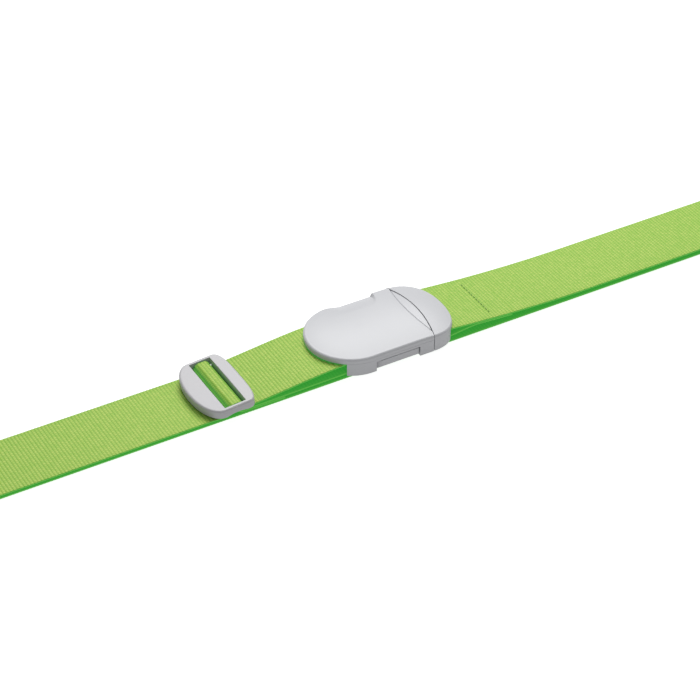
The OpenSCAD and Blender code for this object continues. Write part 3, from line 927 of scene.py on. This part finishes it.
@dataclass(frozen=True)
class Slider:
    """The slider's frame and its centre bar.

    edge_r, under_edge and slot_edge are the radii of its round edges. plate_power and rear_power say
    how full the outline is at the left and at the right, and crowding draws its stations together
    where it turns most.
    """

    sizes: SliderSizes
    edge_r: float = 1.5
    slot_edge: float = 0.45
    under_edge: float = 0.7
    arch_rise: float = 1.0
    arch_inset: float = 0.3
    plate_power: float = 2.1
    rear_power: float = 3.2
    crowding: float = 0.35
    bar_sunk: float = 1.2
    columns: int = 640
    end_points: int = 40

    def ring(self) -> tuple[np.ndarray, np.ndarray]:
        """The frame as a section carried round the slot.

        At each angle the outline is a power of the cosine and sine, fuller on the right. The slot's
        point is where the line to the centre meets the slot's rectangle. Between the two lie a slot
        edge, a top that sags a little towards the slot, a round outer edge and a flat underside.
        Beneath the end walls the underside rises by a shallow parabola of x.

        Returns:
            Points in the slider's frame and the faces.
        """
        k = self.sizes
        a = 2 * np.pi * (np.arange(self.columns) + 0.5) / self.columns
        turn = a - self.crowding * np.sin(2 * a)
        c, s = np.cos(turn), np.sin(turn)
        power = np.where(c < 0, 2 / self.plate_power, 2 / self.rear_power)
        wide = np.where(c < 0, k.plate_x, k.rear_x) - k.shoulder
        ox = np.sign(c) * (k.shoulder + wide * np.abs(c) ** power)
        oy = k.frame_hy * np.sign(s) * np.abs(s) ** power
        fill = self.straights(ox, oy)
        ox, oy = fill[:, 0], fill[:, 1]
        share = np.minimum(k.slot_hx / np.maximum(np.abs(ox), 1e-6),
                           k.slot_hy / np.maximum(np.abs(oy), 1e-6))
        ix, iy = ox * share, oy * share
        gap = np.hypot(ox - ix, oy - iy)
        at, height, low = self.section(gap)
        x = ix + (ox - ix) * at
        y = iy + (oy - iy) * at
        arch_half = k.slot_hx - self.arch_inset
        past_slot = np.abs(y) > k.slot_hy - 2 * self.arch_inset
        arch = self.arch_rise * np.clip(1 - (x / arch_half) ** 2, 0, 1) * past_slot
        z = height[:, None] + low[:, None] * arch
        points = np.stack([x, y, z], axis=-1)
        rows, cols = x.shape
        return points.reshape(-1, 3), grid_faces(rows, cols, wrap_rows=True)

    def section(self, gap: np.ndarray) -> tuple[np.ndarray, np.ndarray, np.ndarray]:
        """The section from the slot's upper edge over the top, round the outside and back beneath.

        Round edges are quarter circles of their own radius, and the top and the underside are level.

        Args:
            gap: Distance from slot to outline at each column.

        Returns:
            For each point of the section, its share of the way from slot to outline at each column,
            its height, and 1 if it lies on the underside or 0 if not.
        """
        k, er, ul, sl = self.sizes, self.edge_r, self.under_edge, self.slot_edge
        at, height, low = [], [], []

        def turn(a0: float, a1: float, n: int, r: float, foot: float, slot: bool, under: float) -> None:
            """Adds a round edge of radius r from angle a0 to a1 about a centre at height foot."""
            for t in np.radians(np.linspace(a0, a1, n)):
                reach = (r + r * math.cos(t)) / gap if slot else 1 - (r - r * math.cos(t)) / gap
                at.append(reach)
                height.append(foot + r * math.sin(t))
                low.append(under)

        def level(shares: np.ndarray, z: float, under: float) -> None:
            """Adds a level stretch at height z, at shares of the way between the two top edges."""
            first, last = sl / gap, 1 - er / gap
            for share in shares:
                at.append(first + (last - first) * share)
                height.append(z)
                low.append(under)

        turn(180, 90, 5, sl, k.up - sl, True, 0.0)
        level(np.linspace(0, 1, 14)[1:-1], k.up, 0.0)
        turn(90, 0, 9, er, k.up - er, False, 0.0)
        turn(0, -90, 5, ul, ul - k.down, False, 1.0)
        level(np.linspace(1, 0, 8)[1:-1], -k.down, 1.0)
        turn(-90, -180, 4, sl, sl - k.down, True, 1.0)
        return np.array(at), np.array(height), np.array(low)

    def straights(self, ox: np.ndarray, oy: np.ndarray) -> np.ndarray:
        """Adds even points along the outline's two straight ends, where x jumps across the shoulder."""
        k = self.sizes
        loop = np.column_stack([ox, oy])
        jumps = np.where(np.abs(np.diff(ox, append=ox[:1])) > k.shoulder)[0]
        parts, last = [], 0
        for j in jumps:
            a, b = loop[j], loop[(j + 1) % len(loop)]
            parts.append(loop[last:j + 1])
            w = np.linspace(0, 1, self.end_points + 2)[1:-1, None]
            parts.append(a + (b - a) * w)
            last = j + 1
        parts.append(loop[last:])
        return np.vstack(parts)

    def bar(self) -> tuple[np.ndarray, np.ndarray]:
        """The centre bar: a flat-sided round section drawn from one end wall to the other."""
        k = self.sizes
        right = arc([k.loop_hx, -k.bar_drop], k.bar_ht / 2, -90, 90, 14)
        left = arc([-k.loop_hx, -k.bar_drop], k.bar_ht / 2, 90, 270, 14)
        loop = np.vstack([right, left])
        reach = k.slot_hy + self.bar_sunk
        y = np.array([-reach, reach])[:, None]
        points = np.stack(np.broadcast_arrays(loop[:, 0], y, loop[:, 1]), axis=-1)
        return points.reshape(-1, 3), grid_faces(2, len(loop))

    def build(self, plastic: bpy.types.Material) -> None:
        """Makes the frame with its bar and sets it on the slider body."""
        k = self.sizes
        ring, ring_faces = self.ring()
        bar, bar_faces = self.bar()
        count = len(bar) // 2
        faces = ring_faces.tolist() + (bar_faces + len(ring)).tolist()
        faces.append([len(ring) + i for i in range(count)])
        faces.append([len(ring) + count + i for i in range(count)][::-1])
        points = np.vstack([ring, bar])
        placed = k.place(points[:, [0, 2]])
        points = np.column_stack([placed[:, 0], points[:, 1], placed[:, 1]])
        piece = mesh_piece("slider_ring", points, faces, RING_SHARP)
        finish_piece(piece, plastic, "slider")
        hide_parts("slider_frame")


# ---------------------------------------------------------------- buckle


@dataclass(frozen=True)
class BuckleSizes:
    """Sizes of the buckle that its covers and the webbing share.

    The cover's left end is half an ellipse about x = 0, and the cap's right end an oval about
    right_c. The joint between them is an arc of radius split_r that meets the middle line at
    split_mid.
    """

    half_w: float = 31.3
    left_reach: float = 30.8
    right_c: float = 46.1
    right_reach: float = 24.5
    wall_t: float = 2.0
    top_t: float = 2.0
    base_z: float = 3.0
    rim_z: float = 12.2
    crown_z: float = 18.6
    crown_h: float = 3.0
    crown_r: float = 164.78
    cap_fall: float = 1.4
    flat_x0: float = 7.837
    flat_x1: float = 27.66
    split_mid: float = 50.3
    split_r: float = 116.07
    split_gap: float = 0.35
    window_x1: float = 35.5
    bar_x: float = -11.0
    bar_z: float = 8.0
    wrap_r: float = 3.15
    wrap_x: float = -20.0
    male_bar_x: float = 57.15
    settle_x: float = 180.0
    tail_x: float = 111.15
    wrap_lift: float = 0.4
    male_slope: float = -0.11
    male_taper: float = 28.0
    tail_slope: float = -0.04
    stitch_in: float = 40.0
    exit_hy: float = 25.9
    exit_z: float = 11.6
    # Range of the ellipse measure about the cover's left end over which the cover's painted shade on the
    # webbing fades out.
    shade_edge: tuple[float, float] = (0.95, 1.04)

    def crown(self, x: np.ndarray, y: np.ndarray) -> np.ndarray:
        """Height of the crowned top: a drum on its side whose radius falls as a cube to each end."""
        left = np.clip((self.flat_x0 - x) / (self.flat_x0 + self.left_reach), 0, None)
        right = np.clip((x - self.flat_x1) / (self.right_c + self.right_reach - self.flat_x1), 0, None)
        r = self.crown_r - self.crown_h * left ** 3 - (self.crown_h + self.cap_fall) * right ** 3
        return self.crown_z - self.crown_r + np.sqrt(r * r - y * y)

    def split_x(self, y: np.ndarray, grow: float = 0.0) -> np.ndarray:
        """The joint line between cover and cap: x of its arc at a given y."""
        return self.split_mid - self.split_r + np.sqrt((self.split_r + grow) ** 2 - y * y)


@dataclass(frozen=True)
class CrownedShell:
    """A skin with walls: a plan loop, a crowned height over it, and a section carried round it.

    At each point of the loop a straight line runs in to a short spine on the middle line. Along it
    lie, in order, the top, the round edge, the outer wall, the rim, the inner wall and the ceiling.
    low, inset and edge hold, for each point of the loop, the rim's height, the inner wall's distance
    inwards and the round edge's radius.
    """

    loop: np.ndarray
    spine: tuple[float, float]
    height: Callable[[np.ndarray, np.ndarray], np.ndarray]
    low: np.ndarray
    inset: np.ndarray
    edge: np.ndarray
    top_t: float
    rows: int = 62
    crowding: float = 0.85
    rim_edge: float = 0.15

    def mesh(self) -> tuple[np.ndarray, list]:
        """Works out the shell's points and faces."""
        ox, oy = self.loop[:, 0], self.loop[:, 1]
        sx = np.clip(ox, *self.spine)
        sy = np.zeros_like(oy)
        gap = np.maximum(np.hypot(ox - sx, oy - sy), 1e-6)
        ux, uy = (sx - ox) / gap, (sy - oy) / gap

        def at(off: np.ndarray) -> tuple[np.ndarray, np.ndarray]:
            """The point that lies off inwards from the loop."""
            return ox + ux * off, oy + uy * off

        xs, ys, zs = [], [], []

        def put(off: np.ndarray, z: np.ndarray | None, drop: float = 0.0) -> None:
            """Adds a row at a distance inwards, at a height or on the top surface less a drop."""
            x, y = at(off)
            xs.append(x)
            ys.append(y)
            zs.append(self.height(x, y) - drop if z is None else z)

        rim_x, rim_y = at(self.edge)
        rim = self.height(rim_x, rim_y)
        for w in np.linspace(1, 0, self.rows) ** self.crowding:
            put(self.edge + (gap - self.edge) * w, None)
        for t in np.radians(np.linspace(90, 0, 9))[1:]:
            put(self.edge * (1 - math.cos(t)), rim - self.edge * (1 - math.sin(t)))
        top = rim - self.edge
        for w in np.linspace(0, 1, 7)[1:]:
            put(np.zeros_like(gap), top + (self.low + self.rim_edge - top) * w)
        put(np.full_like(gap, self.rim_edge), self.low)
        put(np.maximum(self.inset - 0.1, 0.2), self.low)
        roof_x, roof_y = at(self.inset)
        roof = self.height(roof_x, roof_y) - self.top_t
        for w in np.linspace(0, 1, 4):
            put(self.inset, self.low + 0.1 + (roof - self.low - 0.1) * w)
        for w in np.linspace(0, 1, 26)[1:]:
            put(self.inset + (gap - self.inset) * w, None, self.top_t)
        points = np.stack([np.array(xs), np.array(ys), np.array(zs)], axis=-1)
        rows, cols = points.shape[:2]
        return points.reshape(-1, 3), grid_faces(rows, cols).tolist()


@dataclass(frozen=True)
class Buckle:
    """The buckle's outer covers and its inner parts.

    The scoop is the finger valley on the far side, and the step its steep right end. The leaf is the
    outline of the facet by the joint line: a parabola of y with its crown at leaf_x and leaf_y.
    """

    sizes: BuckleSizes
    edge_r: float = 1.8
    split_edge: float = 0.35
    scoop_d: float = 3.0
    scoop_power: float = 1.35
    scoop_x0: float = -3.0
    scoop_x1: float = 11.0
    step_back: float = 2.4
    step_lean: float = 5.0
    valley_y: float = 17.0
    facet_d: float = 0.6
    facet_start: float = 1.3
    facet_lean: float = 0.9
    groove_d: float = 0.6
    groove_in: float = 0.25
    groove_w: float = 0.4
    leaf_x: float = 43.1
    leaf_bow: float = 0.0052
    leaf_y: float = 2.0
    facet_w: float = 8.0
    cap_power: float = 2.35
    split_lip: float = 0.45
    joint_t: float = 1.2
    edge_share: float = 0.62
    least_edge: float = 0.25
    near_joint: float = 0.05
    step: float = 0.36
    pad_trim: float = 0.7

    # -- heights --

    def scoops(self, x: np.ndarray, y: np.ndarray) -> np.ndarray:
        """Depth of the finger valley: a power of the way to the far edge, let in from the left.

        On the right the valley ends in a steep step, whose foot leans with the distance from the edge.
        """
        k = self.sizes
        way = np.clip((np.abs(y) - self.valley_y) / (k.half_w - self.valley_y), 0, None)
        foot = k.window_x1 - self.step_back - self.step_lean * (1 - np.clip(way, 0, 1)) ** 2
        along = smooth(self.scoop_x0, self.scoop_x1, x) * (1 - smooth(foot - 0.2, foot + 1.2, x))
        return self.scoop_d * way ** self.scoop_power * along * (y > 0)

    def facet(self, x: np.ndarray, y: np.ndarray) -> np.ndarray:
        """Depth of the leaf-shaped facet by the joint line, with a groove along its left side."""
        k = self.sizes
        left = self.leaf_x + self.leaf_bow * (y - self.leaf_y) ** 2
        right = k.split_x(y, 1.0)
        inside = smooth(0, 0.35, x - left) * smooth(0, 0.3, right - x)
        groove = np.exp(-((x - left - self.groove_in) / self.groove_w) ** 2)
        groove = groove * smooth(-0.4, 0.2, right - x)
        lean = self.facet_start - self.facet_lean * (x - left) / self.facet_w
        return self.facet_d * inside * lean + self.groove_d * groove

    def cover_height(self, x: np.ndarray, y: np.ndarray) -> np.ndarray:
        """Height of the cover's top: the crown less the finger valleys and the facet."""
        return self.sizes.crown(x, y) - self.scoops(x, y) - self.facet(x, y)

    # -- plans --

    def left_loop(self) -> np.ndarray:
        """The cover's plan: half an ellipse, two straight sides and the joint line's arc."""
        k = self.sizes
        a = np.radians(np.linspace(90, 270, 270))
        turn = np.column_stack([k.left_reach * np.cos(a), k.half_w * np.sin(a)])
        y = np.linspace(-k.half_w, k.half_w, 175)
        arc_x = k.split_x(y)
        side = np.linspace(0, float(arc_x[0]), int(arc_x[0] / self.step))[1:-1]
        near = np.column_stack([side, np.full_like(side, -k.half_w)])
        return np.vstack([turn, near, np.column_stack([arc_x, y]), near[::-1] * [1, -1]])

    def right_loop(self) -> np.ndarray:
        """The cap's plan: a fuller half oval on the right and the joint line's arc on the left.

        The oval is a power of the cosine and sine, whose stations are crowded towards its ends.
        """
        k = self.sizes
        a = np.radians(np.linspace(-90, 90, 300))
        a = a + 0.25 * np.sin(2 * a)
        power = 2 / self.cap_power
        turn = np.column_stack([
            k.right_c + k.right_reach * np.abs(np.cos(a)) ** power,
            k.half_w * np.sign(np.sin(a)) * np.abs(np.sin(a)) ** power])
        y = np.linspace(k.half_w, -k.half_w, 175)
        joint = np.column_stack([k.split_x(y, k.split_gap), y])
        keep = turn[:, 0] > joint[0, 0] + 0.15
        return np.vstack([turn[keep], joint])

    # -- pieces --

    def cover(self, plastic: bpy.types.Material) -> None:
        """The long crowned cover, with its finger valley and facet, on the socket half."""
        k = self.sizes
        loop = self.left_loop()
        on_joint = loop[:, 0] > k.split_x(loop[:, 1]) - self.near_joint
        open_edge = on_joint & (np.abs(loop[:, 1]) < k.half_w - k.wall_t)
        top = self.cover_height(loop[:, 0], loop[:, 1])
        shell = CrownedShell(
            loop=loop, spine=(0.0, 34.0), height=self.cover_height,
            low=np.where(open_edge, top - k.top_t - 0.1, k.rim_z),
            inset=np.where(open_edge, self.split_lip, np.where(on_joint, self.joint_t, k.wall_t)),
            edge=np.where(on_joint, self.split_edge,
                          np.clip(self.edge_share * (top - k.rim_z), self.least_edge, self.edge_r)),
            top_t=k.top_t)
        points, faces = shell.mesh()
        piece = mesh_piece("cover_shell", points, faces, SHELL_SHARP)
        finish_piece(piece, plastic, "strap")
        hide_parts("female_cover")

    def cap(self, plastic: bpy.types.Material) -> None:
        """The crowned cap on the clip half, with its way out for the webbing."""
        k = self.sizes
        loop = self.right_loop()
        on_joint = np.abs(loop[:, 0] - k.split_x(loop[:, 1], k.split_gap)) < self.near_joint
        open_edge = on_joint & (np.abs(loop[:, 1]) < k.half_w - k.wall_t)
        way_out = ~on_joint & (loop[:, 0] > k.male_bar_x + 1) & (np.abs(loop[:, 1]) < k.exit_hy)
        top = k.crown(loop[:, 0], loop[:, 1])
        low = np.where(open_edge, top - k.top_t - 0.1, np.where(way_out, k.exit_z, k.base_z))
        shell = CrownedShell(
            loop=loop, spine=(56.0, 60.0), height=k.crown, low=low,
            inset=np.where(open_edge, self.split_lip, k.wall_t),
            edge=np.where(on_joint, self.split_edge, self.edge_r), top_t=k.top_t)
        points, faces = shell.mesh()
        piece = mesh_piece("cap_shell", points, faces, SHELL_SHARP)
        finish_piece(piece, plastic, "clip_half")
        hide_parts("male_cap")

    def inner(self, node: str, edge: float, material: bpy.types.Material, body: str,
              trim: float = 0.0) -> None:
        """A piece of CAD shape with rounded edges, whose top may be lowered by a trim."""
        piece = edged_copy(node, node.replace("_", "-", 1), edge, trim)
        finish_piece(piece, material, body)

    def build(self, plastic: bpy.types.Material, dark: bpy.types.Material) -> None:
        """Makes the buckle's pieces and sets each on its body."""
        self.cover(plastic)
        self.cap(plastic)
        self.inner("female_body", 0.3, plastic, "strap")
        self.inner("male_body", 0.3, dark, "clip_half")
        for side in ("near", "far"):
            self.inner(side + "_release_arm", 0.25, dark, side + "_latch")
            self.inner(side + "_release_pad", 0.35, plastic, side + "_latch",
                       self.pad_trim)


# ---------------------------------------------------------------- stitching


@dataclass(frozen=True)
class StitchRow:
    """A row of lock stitches across the webbing, at x and on a face at height z."""

    node: str
    body: str
    x: float
    z: float
    count: int = 12
    stitch: float = 2.5
    pitch: float = 3.1
    thread_r: float = 0.36
    flatten: float = 0.9
    arch: float = 0.12
    rise: float = 0.02
    slant: float = 0.18
    strands: int = 3
    twist: float = 0.13
    twist_turns: float = 5.0

    def build(self, thread: bpy.types.Material) -> None:
        """Makes the row: each stitch a twisted thread that arches up and dips into the webbing.

        Along a stitch the height is the sine of half a turn, and the radius is the root of one less
        the sixth power of the way from the middle. It swells with the strands' twist: the cosine of
        their number times the angle round the thread less its turn along it.
        """
        s = np.linspace(0, 1, 19)
        a = np.linspace(0, 2 * np.pi, 12, endpoint=False)
        shrink = np.sqrt(np.clip(1 - (2 * s - 1) ** 6, 0.02, 1))
        strand = self.twist * np.cos(self.strands * (a[None, :] - self.twist_turns * s[:, None]))
        r = self.thread_r * shrink[:, None] * (1 + strand)
        x = self.x + r * np.cos(a)[None, :] + self.slant * (2 * s[:, None] - 1)
        height = self.z + self.rise + self.arch * np.sin(np.pi * s)
        z = height[:, None] + r * np.sin(a)[None, :] * self.flatten
        y = np.broadcast_to((s[:, None] - 0.5) * self.stitch, x.shape)
        one = np.stack([x, y, z], axis=-1).reshape(-1, 3)
        rows, cols = x.shape
        quads = grid_faces(rows, cols)
        points, faces = [], []
        for i in range(self.count):
            shift = np.array([0, (i - (self.count - 1) / 2) * self.pitch, 0])
            base = i * len(one)
            points.append(one + shift)
            faces += (quads + base).tolist()
            faces.append([base + j for j in range(cols)])
            faces.append([base + (rows - 1) * cols + j for j in range(cols)][::-1])
        piece = mesh_piece(self.node.replace("_", "-", 1), np.vstack(points), faces, FABRIC_SHARP)
        finish_piece(piece, thread, self.body)
        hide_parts(self.node)


# ---------------------------------------------------------------- studio


@dataclass(frozen=True)
class Studio:
    """Floor, light and camera, with places in metres and angles in degrees."""

    lens: float = 124.06
    camera_at: tuple[float, float, float] = (-0.6255, -1.1076, 0.9643)
    azimuth: float = 29.455
    down: float = 37.148
    roll: float = -0.2
    world: float = 0.42
    key_at: tuple[float, float, float] = (0.50, 0.86, 1.38)
    key_size: float = 1.1
    key_watts: float = 30.0
    floor_half: float = 6.0
    floor_z: float = -0.0003

    def key(self) -> None:
        """The key light: a square area light that faces the middle of the strap."""
        data = bpy.data.lights.new("key", "AREA")
        data.shape = "SQUARE"
        data.size = self.key_size
        data.energy = self.key_watts
        lamp = bpy.data.objects.new("key", data)
        lamp.location = self.key_at
        lamp.rotation_mode = "QUATERNION"
        lamp.rotation_quaternion = Vector(self.key_at).to_track_quat("Z", "Y")
        bpy.context.scene.collection.objects.link(lamp)

    def floor(self, material: bpy.types.Material) -> None:
        """The floor: a square just beneath the strap."""
        mesh = bpy.data.meshes.new("floor")
        signs = ((-1, -1), (1, -1), (1, 1), (-1, 1))
        corners = [(i * self.floor_half, j * self.floor_half, self.floor_z) for i, j in signs]
        mesh.from_pydata(corners, [], [(0, 1, 2, 3)])
        mesh.materials.append(material)
        floor = bpy.data.objects.new("floor", mesh)
        bpy.context.scene.collection.objects.link(floor)

    def build(self, floor_material: bpy.types.Material) -> None:
        """Makes the floor, the world, the light and the camera."""
        scene = bpy.context.scene
        scene.view_settings.view_transform = "Standard"
        self.floor(floor_material)
        world = bpy.data.worlds.new("studio")
        scene.world = world
        world.use_nodes = True
        world.node_tree.nodes["Background"].inputs["Color"].default_value = (1, 1, 1, 1)
        world.node_tree.nodes["Background"].inputs["Strength"].default_value = self.world
        self.key()
        self.camera()

    def camera(self) -> None:
        """The camera: azimuth and tilt downwards give its direction, and roll turns it about that."""
        scene = bpy.context.scene
        camera = bpy.data.objects.new("camera", bpy.data.cameras.new("camera"))
        camera.data.lens = self.lens
        camera.data.sensor_width = 36.0
        camera.data.clip_start, camera.data.clip_end = 0.05, 50.0
        camera.location = self.camera_at
        az, el = math.radians(self.azimuth), math.radians(self.down)
        look = Vector((math.sin(az) * math.cos(el), math.cos(az) * math.cos(el), -math.sin(el)))
        camera.rotation_mode = "QUATERNION"
        turn = Quaternion((0, 0, 1), math.radians(self.roll))
        camera.rotation_quaternion = look.to_track_quat("-Z", "Y") @ turn
        scene.collection.objects.link(camera)
        scene.camera = camera


def main() -> None:
    logging.basicConfig(level=logging.INFO, format="%(name)s: %(message)s")
    grain, weave = mould_group(), weave_group()
    silver = MouldedPlastic("satin_silver_plastic", (0.495, 0.50, 0.52, 1.0)).build(grain)
    pearl = MouldedPlastic("pearl_grey_plastic", (0.44, 0.435, 0.45, 1.0)).build(grain)
    shaded = MouldedPlastic("inner_grey_plastic", (0.36, 0.37, 0.38, 1.0), 0.5).build(grain)
    cloth, thread = RibbedWebbing().build(weave), SewingThread().build()
    belt, buckle, slider = Belt(), BuckleSizes(), SliderSizes()
    webbing = Webbing(belt, buckle, slider)
    webbing.build(cloth)
    Slider(slider).build(pearl)
    Buckle(buckle).build(silver, shaded)
    rows = (
        ("male_stitching", "clip_half", buckle.male_bar_x + buckle.stitch_in, webbing.right_top),
        ("slider_stitching", "slider", -slider.x + belt.slider_tail - slider.stitch_in, webbing.sewn_top))
    for node, body, x, top in rows:
        StitchRow(node, body, x, top(x)).build(thread)
    Studio().build(StudioFloor().build(grain))


if __name__ == "__main__":
    main()
